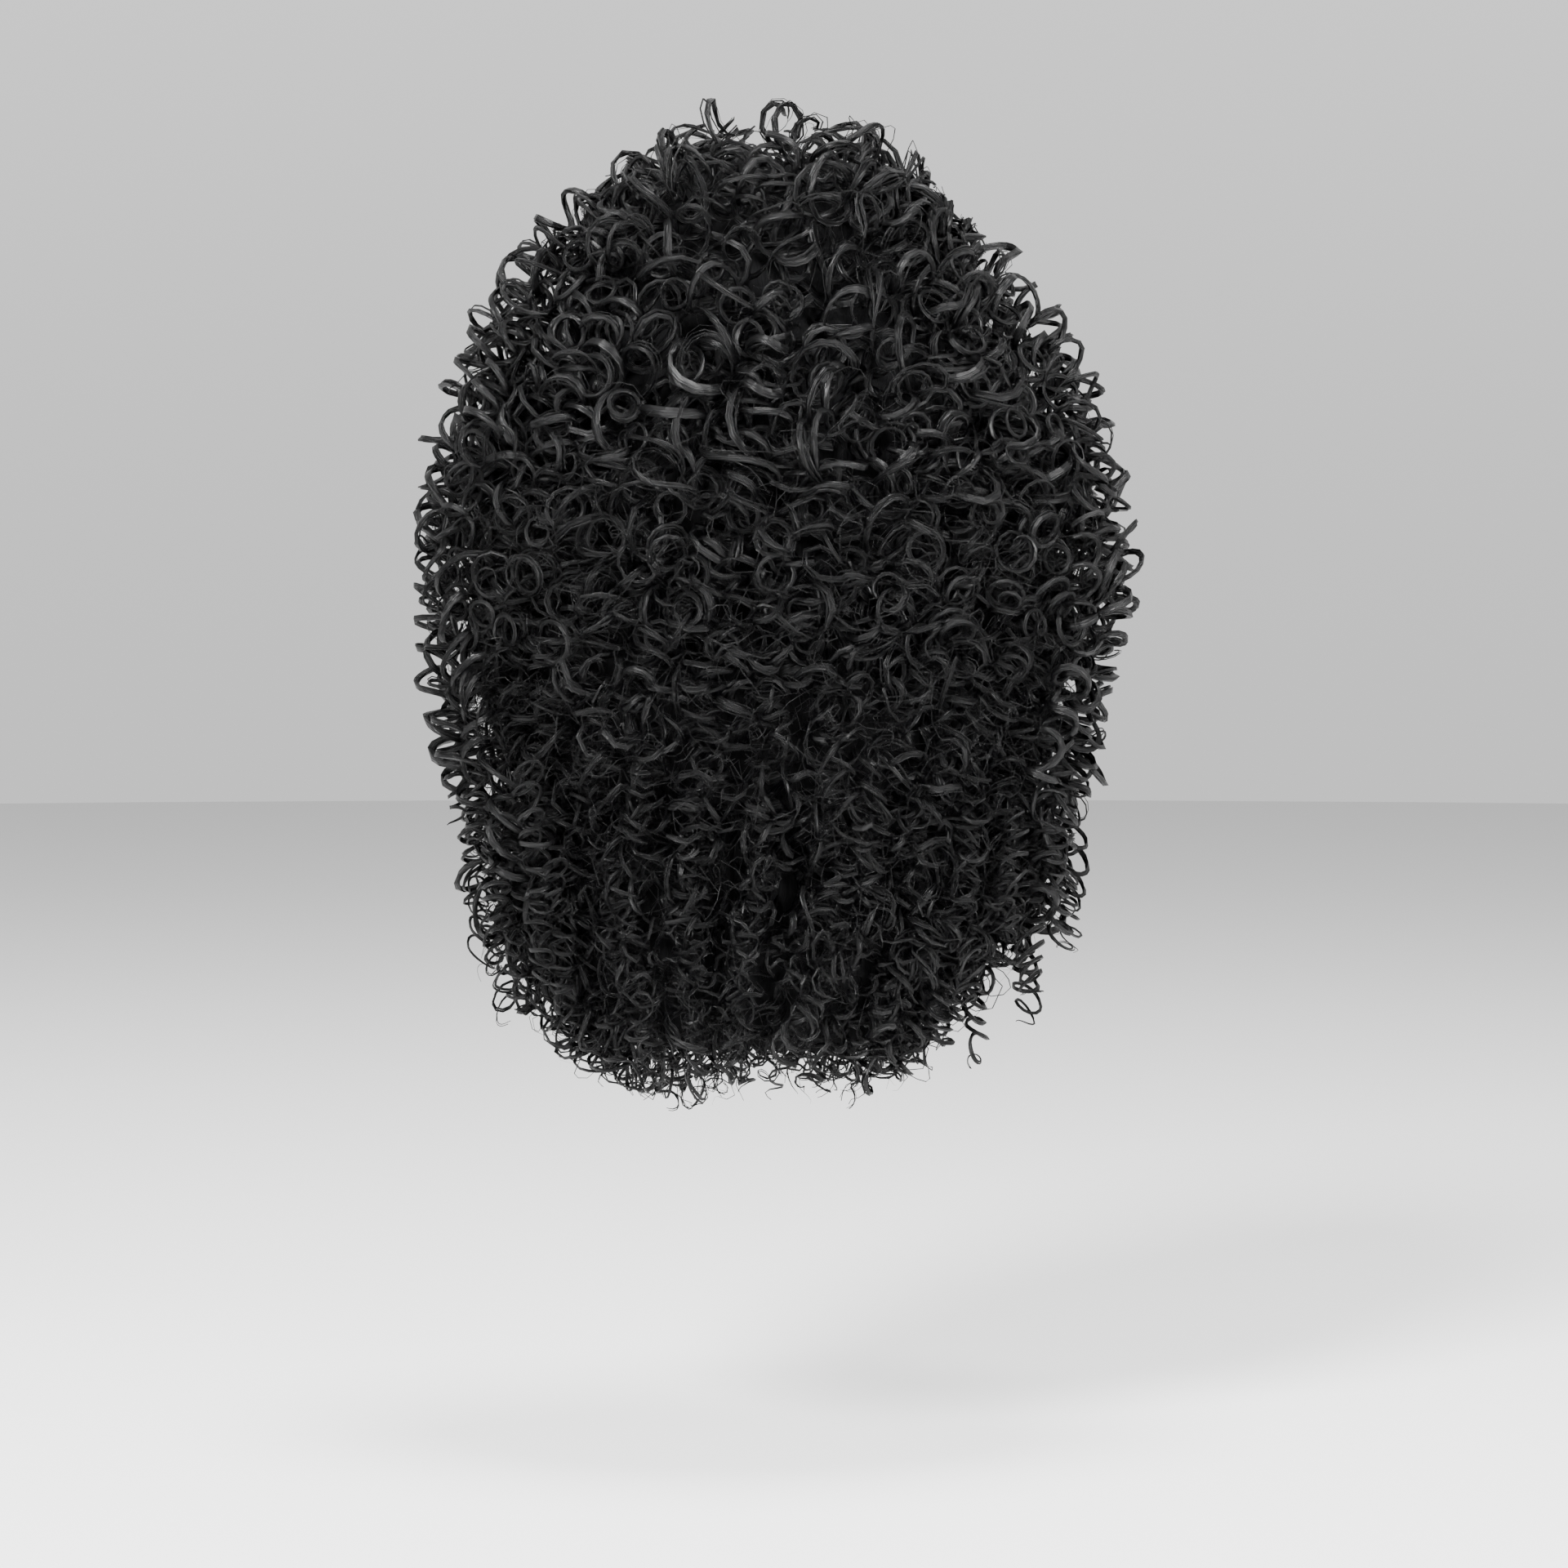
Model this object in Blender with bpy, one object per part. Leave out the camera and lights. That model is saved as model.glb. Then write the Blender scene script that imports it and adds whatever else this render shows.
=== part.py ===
"""Drawstring ponytail of coiled curls, modelled as worn on the back of a head.

Metres, +Z up. The wearer faces +Y, so the curls hang on the -Y side.
The origin is the centre of the cap's rim, the ring that is drawn tight round a bun.
"""

import math

import bmesh
import bpy
from mathutils import Matrix, Vector

# Hair envelope, measured from the rim's centre
HAIR_RISE = 0.072
HAIR_DROP = 0.285
HAIR_HALF_WIDTH = 0.1275
HAIR_BACK_REACH = 0.117
HAIR_FRONT_REACH = 0.040

# Head and neck that the hair hangs round
HEAD_HALF_WIDTH = 0.076
HEAD_HALF_DEPTH = 0.095
HEAD_HALF_HEIGHT = 0.110
NECK_HALF_WIDTH = 0.060
NECK_HALF_DEPTH = 0.056
HEAD_CLEARANCE = 0.003

# Net cap, hem and combs, in the tilted frame of the rim
RIM_TILT_DEG = 65.0
CAP_RADIUS = 0.044
CAP_DEPTH = 0.046
CAP_WALL = 0.0012
HEM_HEIGHT = 0.008
HEM_THICKNESS = 0.0045
HEM_ROUNDING = 0.0012
STRING_SLOT_LENGTH = 0.010
STRING_SLOT_HEIGHT = 0.0032
STRING_SLOT_DEPTH = 0.0024
COMB_SPINE_LENGTH = 0.034
COMB_SPINE_HEIGHT = 0.0042
COMB_TOOTH_LENGTH = 0.016
COMB_TOOTH_WIDTH = 0.0016
COMB_THICKNESS = 0.0015
COMB_TEETH = 9
COMB_LEAN_DEG = 19.0
HEAD_BULGE = 0.012
WEFT_WIDTH = 0.0036
WEFT_THICKNESS = 0.0014
WEFT_TURNS = 3
SEAT_GAP = 0.0003

# Curl locks fused to the hair's backing
LOCK_RADIUS = 0.0085
LOCK_COIL_RADIUS = 0.0066
LOCK_PITCH = 0.042
LOCK_SPACING = 0.036
LOCK_SINK = 0.0120
BACKING_INSET = 0.0185
STEPS_PER_TURN = 4
LOCK_SIDES = 4
CAP_STEPS = 28

# How the envelope runs from the crown (height 0) to the tips (height 1). Width and shift are shares
# of HAIR_HALF_WIDTH, back of HAIR_BACK_REACH and front of HAIR_FRONT_REACH. A shift goes to +X.
ENVELOPE_COLUMNS = ("height", "width", "back", "front", "shift")
ENVELOPE_ROWS = (
    (0.000, 0.12, 0.05, 0.45, -0.01),
    (0.020, 0.29, 0.27, 0.78, -0.02),
    (0.058, 0.49, 0.48, 0.93, -0.03),
    (0.100, 0.62, 0.63, 1.00, -0.03),
    (0.180, 0.75, 0.79, 1.00, -0.03),
    (0.260, 0.87, 0.89, 1.00, -0.02),
    (0.345, 0.955, 0.96, 1.00, -0.02),
    (0.465, 1.00, 1.00, 0.95, -0.02),
    (0.560, 0.97, 1.00, 0.85, -0.03),
    (0.640, 0.93, 0.98, 0.70, -0.03),
    (0.710, 0.885, 0.95, 0.45, -0.02),
    (0.790, 0.85, 0.91, 0.15, -0.02),
    (0.840, 0.76, 0.88, -0.03, -0.04),
    (0.880, 0.65, 0.85, -0.20, -0.07),
    (0.920, 0.54, 0.80, -0.38, -0.09),
    (0.960, 0.42, 0.74, -0.62, -0.08),
    (1.000, 0.26, 0.64, -0.90, -0.07),
)

# Tiers of locks from the crown down: where each tier starts and how long its locks are, as shares
# of the hair's height, and how far round the head it reaches.
TIER_COLUMNS = ("start", "length", "reach_deg")
TIER_ROWS = (
    (0.010, 0.110, 150.0),
    (0.085, 0.150, 124.0),
    (0.200, 0.165, 116.0),
    (0.335, 0.170, 112.0),
    (0.475, 0.170, 112.0),
    (0.615, 0.165, 110.0),
    (0.745, 0.155, 106.0),
    (0.855, 0.145, 96.0),
)

WIDEST_SHARE = 0.56  # where across its depth a section is widest, from the back
THIN_SHARE = 0.35  # how much of an inset is taken off the crown and the face side
LAST_HOLD = 0.985  # the share of the hair's height past which a lock hangs straight down
TAPER_START = 0.45  # the share of a lock's length where it starts to narrow
STAGGER = 0.014  # how far neighbouring locks start above or below each other
LOCK_FLARE = 0.005


def clear_scene():
    for obj in list(bpy.data.objects):
        bpy.data.objects.remove(obj)


def material(name, colour, roughness, metallic=0.0):
    made = bpy.data.materials.new(name)
    made.use_nodes = True
    shader = made.node_tree.nodes["Principled BSDF"]
    shader.inputs["Base Color"].default_value = (*colour, 1.0)
    shader.inputs["Roughness"].default_value = roughness
    shader.inputs["Metallic"].default_value = metallic
    return made


def add_object(name, bm, finish=None, parent=None, smooth_deg=40.0):
    """A linked object made from a bmesh, which is freed."""
    mesh = bpy.data.meshes.new(name)
    bmesh.ops.recalc_face_normals(bm, faces=bm.faces[:])
    bm.to_mesh(mesh)
    bm.free()
    mesh.shade_smooth()
    mesh.set_sharp_from_angle(angle=math.radians(smooth_deg))
    obj = bpy.data.objects.new(name, mesh)
    bpy.context.scene.collection.objects.link(obj)
    if finish:
        mesh.materials.append(finish)
    obj.parent = parent
    return obj


def as_helper(obj):
    obj.hide_render = True
    obj.display_type = "WIRE"
    return obj


def cut(obj, cutter, operation="DIFFERENCE"):
    modifier = obj.modifiers.new(cutter.name, "BOOLEAN")
    modifier.operation = operation
    modifier.object = cutter
    return modifier


def row_at(height, column):
    """One column of the envelope at a height, on a smooth curve through the rows."""
    at = ENVELOPE_COLUMNS.index(column)
    heights = [row[0] for row in ENVELOPE_ROWS]
    height = min(max(height, heights[0]), heights[-1])
    k = max(i for i in range(len(heights) - 1) if heights[i] <= height)
    span = heights[k + 1] - heights[k]
    t = (height - heights[k]) / span

    def slope(i):
        low, high = max(i - 1, 0), min(i + 1, len(heights) - 1)
        return (ENVELOPE_ROWS[high][at] - ENVELOPE_ROWS[low][at]) / (heights[high] - heights[low])

    start, end = ENVELOPE_ROWS[k][at], ENVELOPE_ROWS[k + 1][at]
    a, b = slope(k) * span, slope(k + 1) * span
    return (
        start * (1 + 2 * t) * (1 - t) ** 2
        + a * t * (1 - t) ** 2
        + end * t * t * (3 - 2 * t)
        + b * t * t * (t - 1)
    )


def envelope_point(height, around_deg, inset, thin=1.0):
    """A point of the hair's outer form, moved inwards, by only the thin share of the inset at the
    crown and on the face side. around_deg is 0 at the back, 90 at +X."""
    tall = HAIR_RISE + HAIR_DROP
    shrunk_height = height + (inset / tall) * (thin - height * (1 + thin))
    back = -HAIR_BACK_REACH * row_at(height, "back")
    front = HAIR_FRONT_REACH * row_at(height, "front")
    widest = back + WIDEST_SHARE * (front - back)
    turn = math.radians(around_deg)
    half = max(HAIR_HALF_WIDTH * row_at(height, "width") - inset, 0.15 * inset)
    behind = max(widest - back - inset, 0.15 * inset)
    before = max(front - widest - thin * inset, 0.15 * inset)
    reach = behind if math.cos(turn) > 0 else before
    return Vector(
        (
            HAIR_HALF_WIDTH * row_at(height, "shift") + half * math.sin(turn),
            widest - reach * math.cos(turn),
            HAIR_RISE - tall * shrunk_height,
        )
    )


def closed_loft(rings):
    """A bmesh through rings of points, its two ends filled."""
    bm = bmesh.new()
    loops = [[bm.verts.new(point) for point in ring] for ring in rings]
    for lower, upper in zip(loops, loops[1:]):
        for i in range(len(lower)):
            j = (i + 1) % len(lower)
            bm.faces.new((lower[i], lower[j], upper[j], upper[i]))
    bm.faces.new(loops[0])
    bm.faces.new(loops[-1])
    bmesh.ops.triangulate(bm, faces=[loop_face for loop_face in bm.faces if len(loop_face.verts) > 4])
    return bm


def cap_turns():
    return [2 * math.pi * k / CAP_STEPS for k in range(CAP_STEPS)]


def turned(profile):
    """A bmesh turned round Z from a closed profile of (radius, height) points."""
    bm = bmesh.new()
    loops = []
    for turn in cap_turns():
        loops.append([bm.verts.new((r * math.cos(turn), r * math.sin(turn), z)) for r, z in profile])
    for k in range(CAP_STEPS):
        here, after = loops[k], loops[(k + 1) % CAP_STEPS]
        for i in range(len(profile)):
            j = (i + 1) % len(profile)
            bm.faces.new((here[i], here[j], after[j], after[i]))
    return bm


def dome_arc(radius, depth, rise, rings):
    """Points of a dome's section from its rim up to just off the axis."""
    last = math.pi / 2 * (1 - 0.06)
    return [
        (radius * math.cos(last * k / rings), rise + depth * math.sin(last * k / rings))
        for k in range(rings + 1)
    ]


def cap_shell(rings=6):
    """The net's dome: an outer and an inner skin joined at the rim, and a closed crown."""
    rise = HEM_HEIGHT / 2 + SEAT_GAP
    outer = dome_arc(CAP_RADIUS, CAP_DEPTH - rise, rise, rings)
    inner = dome_arc(CAP_RADIUS - CAP_WALL, CAP_DEPTH - rise - CAP_WALL, rise, rings)
    bm = bmesh.new()
    loops = []
    for radius, height in [*reversed(inner), *outer]:
        loops.append([bm.verts.new((radius * math.cos(t), radius * math.sin(t), height)) for t in cap_turns()])
    for lower, upper in zip(loops, loops[1:]):
        for i in range(CAP_STEPS):
            j = (i + 1) % CAP_STEPS
            bm.faces.new((lower[i], lower[j], upper[j], upper[i]))
    bm.faces.new(loops[0])
    bm.faces.new(loops[-1])
    return bm


def hem_ring():
    """The folded casing round the rim, its edges rounded."""
    outer = CAP_RADIUS + HEM_THICKNESS * 0.3
    inner = outer - HEM_THICKNESS
    half = HEM_HEIGHT / 2
    fold = min(HEM_ROUNDING, 0.45 * HEM_THICKNESS, 0.45 * HEM_HEIGHT)
    return turned(
        [
            (inner, fold - half),
            (inner + fold, -half),
            (outer - fold, -half),
            (outer, fold - half),
            (outer, half - fold),
            (outer - fold, half),
            (inner + fold, half),
            (inner, half - fold),
        ]
    )


def block(size, centre):
    bm = bmesh.new()
    bmesh.ops.create_cube(bm, size=1.0)
    bmesh.ops.scale(bm, vec=Vector(size), verts=bm.verts[:])
    bmesh.ops.translate(bm, vec=Vector(centre), verts=bm.verts[:])
    return bm


def comb_plate(arc_steps=8):
    """A comb as a flat plate: an arched spine that fits the hem, and straight teeth. Its spine's
    outer edge passes through the local origin and its teeth point along -Y."""
    fit = (CAP_RADIUS - HEM_THICKNESS * 0.7) * math.cos(math.pi / CAP_STEPS) - SEAT_GAP
    spread = math.asin(min(COMB_SPINE_LENGTH / 2 / fit, 0.95))
    arc = [spread * (1 - 2 * k / arc_steps) for k in range(arc_steps + 1)]
    outline = [(fit * math.sin(a), fit * math.cos(a) - fit) for a in arc]
    inner = fit - COMB_SPINE_HEIGHT
    pitch = (COMB_SPINE_LENGTH - COMB_TOOTH_WIDTH) / (COMB_TEETH - 1)
    tip_line = -COMB_SPINE_HEIGHT - COMB_TOOTH_LENGTH
    for k in range(COMB_TEETH):
        middle = pitch * (k - (COMB_TEETH - 1) / 2)
        sides = (middle - COMB_TOOTH_WIDTH / 2, middle + COMB_TOOTH_WIDTH / 2)
        roots = [math.sqrt(max(inner**2 - x**2, 0.0)) - fit for x in sides]
        narrow = COMB_TOOTH_WIDTH * 0.28
        outline += [
            (sides[0], roots[0]),
            (middle - narrow, tip_line + COMB_TOOTH_WIDTH / 2),
            (middle, tip_line),
            (middle + narrow, tip_line + COMB_TOOTH_WIDTH / 2),
            (sides[1], roots[1]),
        ]
    bm = bmesh.new()
    face = bm.faces.new([bm.verts.new((x, y, -COMB_THICKNESS / 2)) for x, y in outline])
    made = bmesh.ops.extrude_face_region(bm, geom=[face])
    lifted = [v for v in made["geom"] if isinstance(v, bmesh.types.BMVert)]
    bmesh.ops.translate(bm, vec=(0, 0, COMB_THICKNESS), verts=lifted)
    bmesh.ops.triangulate(bm, faces=[f for f in bm.faces if len(f.verts) > 4])
    return bm, fit


def add_comb(name, finish, seat, side):
    """A comb inside the hem. side is 1 at the top of the rim and -1 at the bottom."""
    bm, fit = comb_plate()
    comb = add_object(name, bm, finish, parent=seat, smooth_deg=30.0)
    lean = Matrix.Rotation(math.radians(-COMB_LEAN_DEG), 4, "X")
    place = Matrix.Translation((0, fit, 0))
    flip = Matrix.Rotation(0 if side > 0 else math.pi, 4, "Z")
    comb.matrix_local = flip @ place @ lean
    return comb


def backing_loft(rings=15, sides=22):
    """The dense hair under the curls: the envelope, moved in from the curls' surface."""
    heights = [k / (rings - 1) for k in range(rings)]
    return closed_loft(
        [
            [envelope_point(h, 360 * k / sides, BACKING_INSET, THIN_SHARE) for k in range(sides)]
            for h in heights
        ]
    )


def head_centre():
    """The head's centre: its surface bulges by HEAD_BULGE through the middle of the rim."""
    tilt = math.radians(RIM_TILT_DEG)
    out = Vector((0, -math.sin(tilt), math.cos(tilt)))
    slope = Vector((0, out.y * HEAD_HALF_DEPTH, out.z * HEAD_HALF_HEIGHT))
    touch = Vector((0, slope.y * HEAD_HALF_DEPTH, slope.z * HEAD_HALF_HEIGHT)) / slope.length
    return out * HEAD_BULGE - touch


def head_form(centre, segments=28, rings=18):
    bm = bmesh.new()
    bmesh.ops.create_uvsphere(bm, u_segments=segments, v_segments=rings, radius=1.0)
    grown = [
        half + HEAD_CLEARANCE for half in (HEAD_HALF_WIDTH, HEAD_HALF_DEPTH, HEAD_HALF_HEIGHT)
    ]
    bmesh.ops.scale(bm, vec=Vector(grown), verts=bm.verts[:])
    bmesh.ops.translate(bm, vec=centre, verts=bm.verts[:])
    return bm


def neck_form(centre, sides=24):
    """The space below the head: it opens towards the face and runs out below the tips."""
    half_width = NECK_HALF_WIDTH + HEAD_CLEARANCE
    half_depth = NECK_HALF_DEPTH + HEAD_CLEARANCE
    rings = []
    for z in (centre.z, -1.2 * HAIR_DROP):
        ring = []
        for k in range(sides):
            turn = 2 * math.pi * k / sides
            stretch = 3.0 if math.cos(turn) > 0 else 1.0
            ring.append(
                (
                    half_width * math.sin(turn),
                    centre.y - 0.012 + half_depth * math.cos(turn) * stretch,
                    z,
                )
            )
        rings.append(ring)
    return closed_loft(rings)


def weft_strip(rings=6):
    """One long stitched strip that winds round the dome from the hem towards the crown."""
    low = WEFT_WIDTH
    high = math.pi / 2 * CAP_DEPTH * 0.80
    rise = HEM_HEIGHT / 2 + SEAT_GAP
    deep = CAP_DEPTH - rise
    sections = []
    for k in range(WEFT_TURNS * CAP_STEPS + 1):
        t = k / (WEFT_TURNS * CAP_STEPS)
        turn = 2 * math.pi * WEFT_TURNS * t
        middle = low + (high - low) * t
        ring = []
        for along, out in ((-0.5, 0), (-0.5, 1), (0.5, 1), (0.5, 0)):
            climb = (middle + along * WEFT_WIDTH) / CAP_DEPTH
            lift = SEAT_GAP + out * WEFT_THICKNESS
            r = (CAP_RADIUS + lift) * math.cos(climb)
            z = rise + (deep + lift) * math.sin(climb)
            ring.append((r * math.cos(turn), r * math.sin(turn), z))
        sections.append(ring)
    return closed_loft(sections)


def cap_room(rings=6):
    """The room that the cap, its weft and its hem take in the hair, open towards the head."""
    grow = WEFT_THICKNESS + 2 * SEAT_GAP
    rise = HEM_HEIGHT / 2
    below = -HEAD_BULGE - 0.01
    hem_outside = CAP_RADIUS + max(HEM_THICKNESS * 0.3 + SEAT_GAP, grow)
    outline = [(hem_outside, below), (hem_outside, rise + SEAT_GAP)]
    outline += dome_arc(CAP_RADIUS + grow, CAP_DEPTH - rise + grow, rise + 2 * SEAT_GAP, rings)
    return closed_loft(
        [[(r * math.cos(t), r * math.sin(t), z) for t in cap_turns()] for r, z in outline]
    )


def lock_frame(height, around_deg, inset):
    """A point under the envelope, the way out of it and the way sideways along it."""
    step = 0.004
    here = envelope_point(height, around_deg, inset)
    down = envelope_point(height + step, around_deg, inset) - here
    across = envelope_point(height, around_deg + 1.0, inset) - here
    outward = down.cross(across).normalized()
    return here, outward, across.normalized()


def lock_tube(height, length, around_deg, hand, phase, flare):
    """One coiled lock down the envelope, thick at its root and tapered to its tip."""
    tall = HAIR_RISE + HAIR_DROP
    turns = length * tall / LOCK_PITCH
    steps = max(5, round(turns * STEPS_PER_TURN))
    rings = []
    for k in range(steps + 1):
        t = k / steps
        reached = height + length * t
        over = max(reached - LAST_HOLD, 0.0) * tall
        centre, outward, sideways = lock_frame(
            min(reached, LAST_HOLD), around_deg, LOCK_SINK - flare * t * t
        )
        coil = phase + hand * 2 * math.pi * t * turns
        taper = 1.0 if t < TAPER_START else math.sqrt(1.04 - ((t - TAPER_START) / (1 - TAPER_START)) ** 2)
        swing = LOCK_COIL_RADIUS * (0.5 + 0.5 * taper)
        middle = centre + swing * (outward * math.cos(coil) + sideways * math.sin(coil))
        middle.z -= over
        radius = LOCK_RADIUS * taper
        ring = []
        for i in range(LOCK_SIDES):
            a = 2 * math.pi * i / LOCK_SIDES
            ring.append(middle + radius * (outward * math.cos(a) + sideways * math.sin(a)))
        rings.append(ring)
    return closed_loft(rings)


def clears_head(point, centre):
    """Whether a lock at this point lies outside the head, and not only as a sliver."""
    off = point - centre
    margin = HEAD_CLEARANCE + 0.4 * LOCK_RADIUS
    reach = (
        (off.x / (HEAD_HALF_WIDTH + margin)) ** 2
        + (off.y / (HEAD_HALF_DEPTH + margin)) ** 2
        + (off.z / (HEAD_HALF_HEIGHT + margin)) ** 2
    )
    return reach > 1.0


def tier_locks():
    """Every lock as its own bmesh, tier by tier, each tier staggered against the one above."""
    skull = head_centre()
    for tier, (start, length, reach) in enumerate(TIER_ROWS):
        middle = start + length / 2
        half = HAIR_HALF_WIDTH * row_at(middle, "width")
        back = HAIR_BACK_REACH * row_at(middle, "back")
        front = HAIR_FRONT_REACH * row_at(middle, "front")
        behind = WIDEST_SHARE * (front + back)
        arc = 2 * math.radians(reach) * math.sqrt((half**2 + behind**2) / 2)
        count = max(5, round(arc / LOCK_SPACING))
        shift = 0.25 if tier % 2 else -0.25
        for k in range(count):
            around = reach * (2 * (k + 0.5 + shift) / count - 1)
            stagger = STAGGER * math.sin(2.4 * k + 1.7 * tier)
            hand = 1 if (k + tier) % 2 else -1
            phase = 1.9 * k + 0.8 * tier
            flare = LOCK_FLARE * (1 + math.sin(1.3 * k + tier)) / 2
            if clears_head(envelope_point(middle, around, LOCK_SINK), skull):
                yield lock_tube(max(start + stagger, 0.0), length, around, hand, phase, flare)


def build_hair(finish, seat):
    hair = add_object("curls", backing_loft(), finish, smooth_deg=60.0)
    forms = bpy.data.collections.new("lock_forms")
    bpy.context.scene.collection.children.link(forms)
    for k, bm in enumerate(tier_locks()):
        lock = as_helper(add_object(f"lock_form_{k:02d}", bm))
        bpy.context.scene.collection.objects.unlink(lock)
        forms.objects.link(lock)
    fuse = hair.modifiers.new("fuse_locks", "BOOLEAN")
    fuse.operation = "UNION"
    fuse.operand_type = "COLLECTION"
    fuse.collection = forms
    centre = head_centre()
    cut(hair, as_helper(add_object("head_room", head_form(centre))))
    cut(hair, as_helper(add_object("neck_room", neck_form(centre))))
    cut(hair, as_helper(add_object("cap_room", cap_room(), parent=seat)))
    return hair


def main():
    clear_scene()
    seat = bpy.data.objects.new("seat", None)
    bpy.context.scene.collection.objects.link(seat)
    seat.rotation_euler = (math.radians(RIM_TILT_DEG), 0, 0)

    fibre = material("curl_fibre", (0.012, 0.012, 0.013), 0.42)
    net = material("cap_net", (0.016, 0.016, 0.017), 0.75)
    band = material("hem_band", (0.020, 0.020, 0.021), 0.80)
    plastic = material("comb_plastic", (0.015, 0.015, 0.016), 0.30)

    add_object("net_cap", cap_shell(), net, parent=seat)
    add_object("weft_strip", weft_strip(), band, parent=seat)
    hem = add_object("hem_casing", hem_ring(), band, parent=seat)
    outside = CAP_RADIUS + HEM_THICKNESS * 0.3
    slot = block(
        (STRING_SLOT_LENGTH, 2 * STRING_SLOT_DEPTH, STRING_SLOT_HEIGHT), (0, -outside, 0)
    )
    cut(hem, as_helper(add_object("string_slot", slot, parent=seat)))
    add_comb("comb_upper", plastic, seat, 1)
    add_comb("comb_lower", plastic, seat, -1)
    build_hair(fibre, seat)


main()
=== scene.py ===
"""Looks of a drawstring ponytail: loose coiled curls round a dark, dense core, on a net cap."""

import math

import bmesh
import bpy
import numpy as np
from bpy.props import FloatProperty, FloatVectorProperty, IntProperty, PointerProperty
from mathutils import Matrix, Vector


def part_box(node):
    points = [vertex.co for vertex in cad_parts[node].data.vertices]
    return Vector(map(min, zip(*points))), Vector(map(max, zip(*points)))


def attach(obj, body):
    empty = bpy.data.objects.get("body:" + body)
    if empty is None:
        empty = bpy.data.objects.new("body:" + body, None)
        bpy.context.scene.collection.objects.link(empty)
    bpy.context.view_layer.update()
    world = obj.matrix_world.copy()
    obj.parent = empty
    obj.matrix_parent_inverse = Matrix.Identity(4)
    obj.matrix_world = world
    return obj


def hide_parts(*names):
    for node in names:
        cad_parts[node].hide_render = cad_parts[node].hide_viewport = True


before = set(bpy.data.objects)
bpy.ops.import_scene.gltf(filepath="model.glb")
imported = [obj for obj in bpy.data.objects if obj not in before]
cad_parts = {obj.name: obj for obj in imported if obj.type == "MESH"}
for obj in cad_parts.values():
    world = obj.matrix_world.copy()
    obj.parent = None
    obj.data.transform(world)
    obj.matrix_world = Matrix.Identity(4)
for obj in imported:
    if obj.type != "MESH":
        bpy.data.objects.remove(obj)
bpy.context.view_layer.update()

HAIR_LOW, HAIR_HIGH = (tuple(corner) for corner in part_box("curls"))

bl_info = {
    "name": "Curly drawstring ponytail",
    "version": (1, 0, 0),
    "blender": (4, 5, 0),
    "location": "View3D > Sidebar > Ponytail",
    "description": "Builds the curls, the net cap's finish and a plain studio",
    "category": "Add Mesh",
}

BODY = "root"
HAIR_NODE = "curls"

# How the hair's outer form runs from the crown (height 0) to the tips (height 1), as shares of its
# half width, its reach behind the rim and its reach in front of it. A shift is to the right.
ENVELOPE_COLUMNS = ("height", "width", "back", "front", "shift")
ENVELOPE_ROWS = (
    (0.000, 0.12, 0.05, 0.45, -0.01),
    (0.020, 0.29, 0.27, 0.78, -0.02),
    (0.058, 0.49, 0.48, 0.93, -0.03),
    (0.100, 0.62, 0.63, 1.00, -0.03),
    (0.180, 0.75, 0.79, 1.00, -0.03),
    (0.260, 0.87, 0.89, 1.00, -0.02),
    (0.345, 0.955, 0.96, 1.00, -0.02),
    (0.465, 1.00, 1.00, 0.95, -0.02),
    (0.560, 0.97, 1.00, 0.85, -0.03),
    (0.640, 0.93, 0.98, 0.70, -0.03),
    (0.710, 0.885, 0.95, 0.45, -0.02),
    (0.790, 0.85, 0.91, 0.15, -0.02),
    (0.840, 0.76, 0.88, -0.03, -0.04),
    (0.880, 0.65, 0.85, -0.20, -0.07),
    (0.920, 0.54, 0.80, -0.38, -0.09),
    (0.960, 0.42, 0.74, -0.62, -0.08),
    (1.000, 0.26, 0.64, -0.90, -0.07),
)
WIDEST_SHARE = 0.56

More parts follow.
